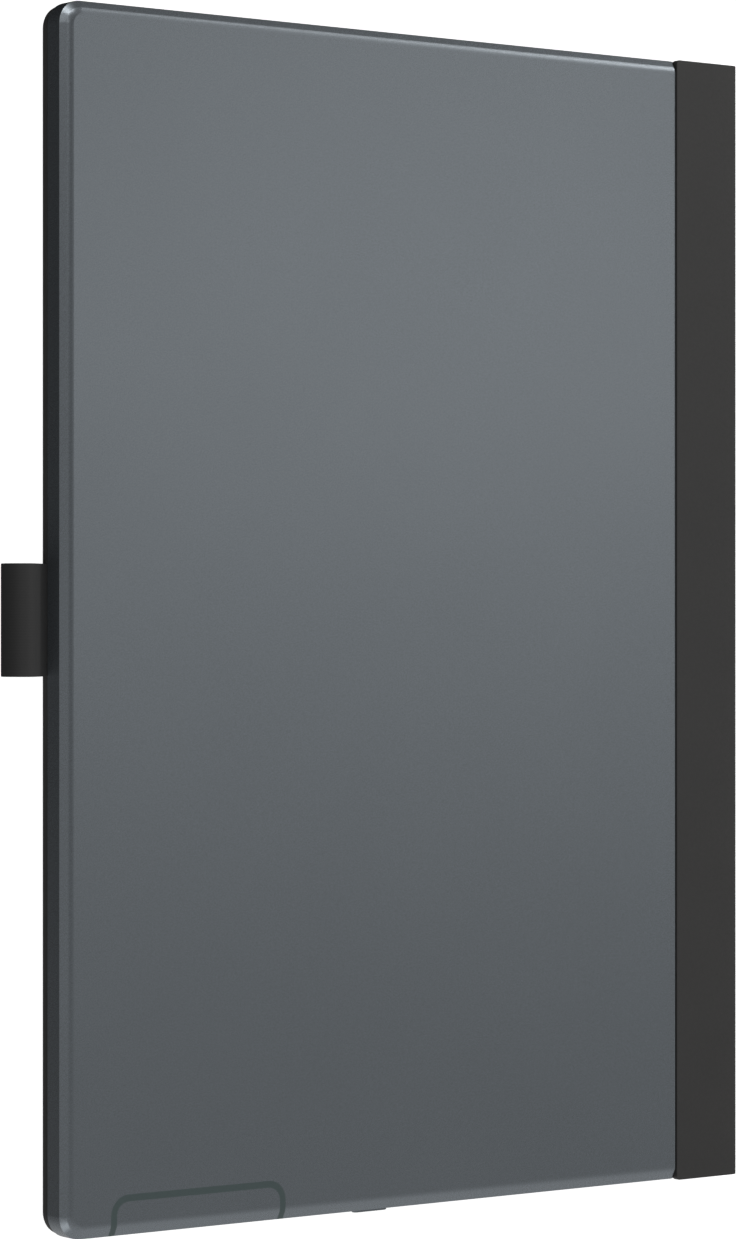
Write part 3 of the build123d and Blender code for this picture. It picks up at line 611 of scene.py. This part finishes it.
def loop_line(steps=28):
    """The band's middle line as (x, z): out of the mouth along the floor, round, and back down into it."""
    mouths = [(LOOP_MOUTH[0], LOOP_MOUTH[1] + side * LOOP_BAND / 2) for side in (-1, 1)]
    first = tangent_turn(mouths[0], -1)
    last = tangent_turn(mouths[1], 1) - 2 * math.pi
    line = []
    for i in range(steps + 1):
        turn = first + (last - first) * i / steps
        x = LOOP_CENTRE[0] + LOOP_LINE_RADIUS * math.cos(turn)
        line.append((x, LOOP_CENTRE[1] + LOOP_LINE_RADIUS * math.sin(turn)))
    inside = [(x + LOOP_TUCK, z) for x, z in mouths]
    return [inside[0], mouths[0], *line, mouths[1], inside[1]]


def band_section(half, thickness, edge, steps=4):
    """Rounded rectangle as (y, n), n across the band's thickness."""
    points = []
    for y_side, n_side in ((1, 1), (-1, 1), (-1, -1), (1, -1)):
        turns = quarter_turn(steps)
        if y_side * n_side < 0:
            turns = turns[::-1]
        y, n = y_side * (half - edge), n_side * (thickness / 2 - edge)
        points += [(y + y_side * edge * math.cos(a), n + n_side * edge * math.sin(a)) for a in turns]
    return points


def sweep_band(line, section):
    """A closed band: the section carried along a line in the XZ plane."""
    mesh = bmesh.new()
    rings = []
    for i, (x, z) in enumerate(line):
        before, after = line[max(i - 1, 0)], line[min(i + 1, len(line) - 1)]
        along = Vector((after[0] - before[0], after[1] - before[1])).normalized()
        rings.append([mesh.verts.new((x - n * along.y, y, z + n * along.x)) for y, n in section])
    count = len(section)
    for near, far in zip(rings, rings[1:]):
        for i in range(count):
            mesh.faces.new((near[i], near[(i + 1) % count], far[(i + 1) % count], far[i]))
    mesh.faces.new(rings[0])
    mesh.faces.new(rings[-1])
    return mesh


pen_loop_band = finish_mesh(
    "pen_loop_band",
    sweep_band(loop_line(), band_section(LOOP_HALF, LOOP_BAND, LOOP_EDGE)),
    materials["loop_elastic"],
)
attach(pen_loop_band, "front_cover")
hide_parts("pen_loop")


# ======================================================================
# Floor, backdrop and light
# ======================================================================
FLOOR_LEVEL = -0.05 * MM
FLOOR_RADIUS = 3.5
BACKDROP_BEND = 1.0
BACKDROP_HEIGHT = 2.5
BACKDROP_STEPS = 8
FLOOR_GLOW = 0.85

# The surround's strength rises from nothing overhead to its full value past this lean towards -Y.
SURROUND_LEAN = -0.6
SURROUND_STRENGTH = 0.575

LIGHT_DISTANCE = 2.2

# Name: direction from the notebook, width, height and power, in metres and watts.
LIGHTS = {
    "bank_level": ((0.56, 0.02, 0.82), 1.1, 0.5, 0.7),
    "bank_low": ((0.60, 0.153, 0.785), 0.9, 0.5, 0.95),
    "bank_middle": ((0.60, 0.371, 0.71), 0.9, 0.5, 0.95),
    "bank_high": ((0.618, 0.571, 0.54), 0.9, 0.5, 1.2),
    "line": ((0.62, 0.65, 0.44), 0.9, 0.22, 1.6),
    "side": ((0.75, 0.50, 0.43), 0.5, 0.7, 7.0),
    "spine_side": ((0.88, 0.0, 0.47), 0.25, 1.4, 1.0),
    "crest": ((-0.08, 0.68, 0.72), 1.0, 0.45, 9.8),
    "overhead_top": ((-0.30, 0.38, 0.88), 0.8, 0.6, 2.5),
    "overhead": ((-0.41, -0.02, 0.91), 0.8, 0.6, 0.5),
    "foot": ((-0.39, -0.60, 0.80), 1.0, 0.8, 3.8),
}


def studio_paper():
    """Plain pale paper, faintly mottled, that glows a little so that shadows on it stay light."""
    s = Shader("studio_paper", Specular_IOR_Level=0.0, Emission_Strength=FLOOR_GLOW)
    s.colour(s.blend(s.noise(60 * MM), (0.90, 0.90, 0.90), (0.93, 0.93, 0.93)))
    s.rough(s.spread(s.noise(5 * MM), 0.85, 0.95))
    s.shader.inputs["Emission Color"].default_value = (1.0, 1.0, 1.0, 1.0)
    return s.material


def add_stage(name, profile, material, casts_shadow, steps=64):
    """Round studio surface from a profile of (radius, level). Gloss and bounced light leave it out."""
    mesh = bmesh.new()
    rings = []
    for radius, level in profile:
        turns = [2 * math.pi * i / steps for i in range(steps)]
        rings.append([mesh.verts.new((radius * math.cos(a), radius * math.sin(a), level)) for a in turns])
    if len(rings) == 1:
        mesh.faces.new(rings[0])
    for inner, outer in zip(rings, rings[1:]):
        for i in range(steps):
            mesh.faces.new((inner[i], outer[i], outer[i - 1], inner[i - 1]))
    data = bpy.data.meshes.new(name)
    mesh.to_mesh(data)
    mesh.free()
    data.shade_smooth()
    data.materials.append(material)
    thing = bpy.data.objects.new(name, data)
    thing.visible_glossy = False
    thing.visible_diffuse = False
    thing.visible_shadow = casts_shadow
    bpy.context.scene.collection.objects.link(thing)


def backdrop_profile():
    """Up from the floor's rim: a quarter bend, then a straight wall."""
    bend = []
    for turn in quarter_turn(BACKDROP_STEPS):
        radius = FLOOR_RADIUS + BACKDROP_BEND * math.sin(turn)
        bend.append((radius, FLOOR_LEVEL + BACKDROP_BEND * (1 - math.cos(turn))))
    return bend + [(FLOOR_RADIUS + BACKDROP_BEND, BACKDROP_HEIGHT)]


def make_light(name, direction, width, height, power):
    """A soft rectangular light that faces the notebook, its width along the notebook's width."""
    data = bpy.data.lights.new(name, "AREA")
    data.shape = "RECTANGLE"
    data.size = width
    data.size_y = height
    data.energy = power
    light = bpy.data.objects.new(name, data)
    backward = Vector(direction).normalized()
    upward = backward.cross(Vector((1, 0, 0))).normalized()
    across = upward.cross(backward)
    light.location = backward * LIGHT_DISTANCE
    light.rotation_euler = Matrix((across, upward, backward)).transposed().to_euler()
    light.visible_camera = False
    bpy.context.scene.collection.objects.link(light)


def make_surround():
    """Dim studio surround that lights the notebook from its foot."""
    world = bpy.data.worlds.new("studio")
    world.use_nodes = True
    tree = world.node_tree
    background = tree.nodes["Background"]
    background.inputs["Color"].default_value = (1.0, 1.0, 1.0, 1.0)
    place = tree.nodes.new("ShaderNodeTexCoord")
    split = tree.nodes.new("ShaderNodeSeparateXYZ")
    ramp = tree.nodes.new("ShaderNodeMapRange")
    ramp.inputs["From Min"].default_value = 0.0
    ramp.inputs["From Max"].default_value = SURROUND_LEAN
    ramp.inputs["To Min"].default_value = 0.0
    ramp.inputs["To Max"].default_value = SURROUND_STRENGTH
    tree.links.new(place.outputs["Generated"], split.inputs["Vector"])
    tree.links.new(split.outputs["Y"], ramp.inputs["Value"])
    tree.links.new(ramp.outputs["Result"], background.inputs["Strength"])
    bpy.context.scene.world = world


paper = studio_paper()
add_stage("floor", [(FLOOR_RADIUS, FLOOR_LEVEL)], paper, True)
add_stage("backdrop", backdrop_profile(), paper, False)
make_surround()
for light_name, light_row in LIGHTS.items():
    make_light(light_name, *light_row)
bpy.context.scene.view_settings.view_transform = "Standard"
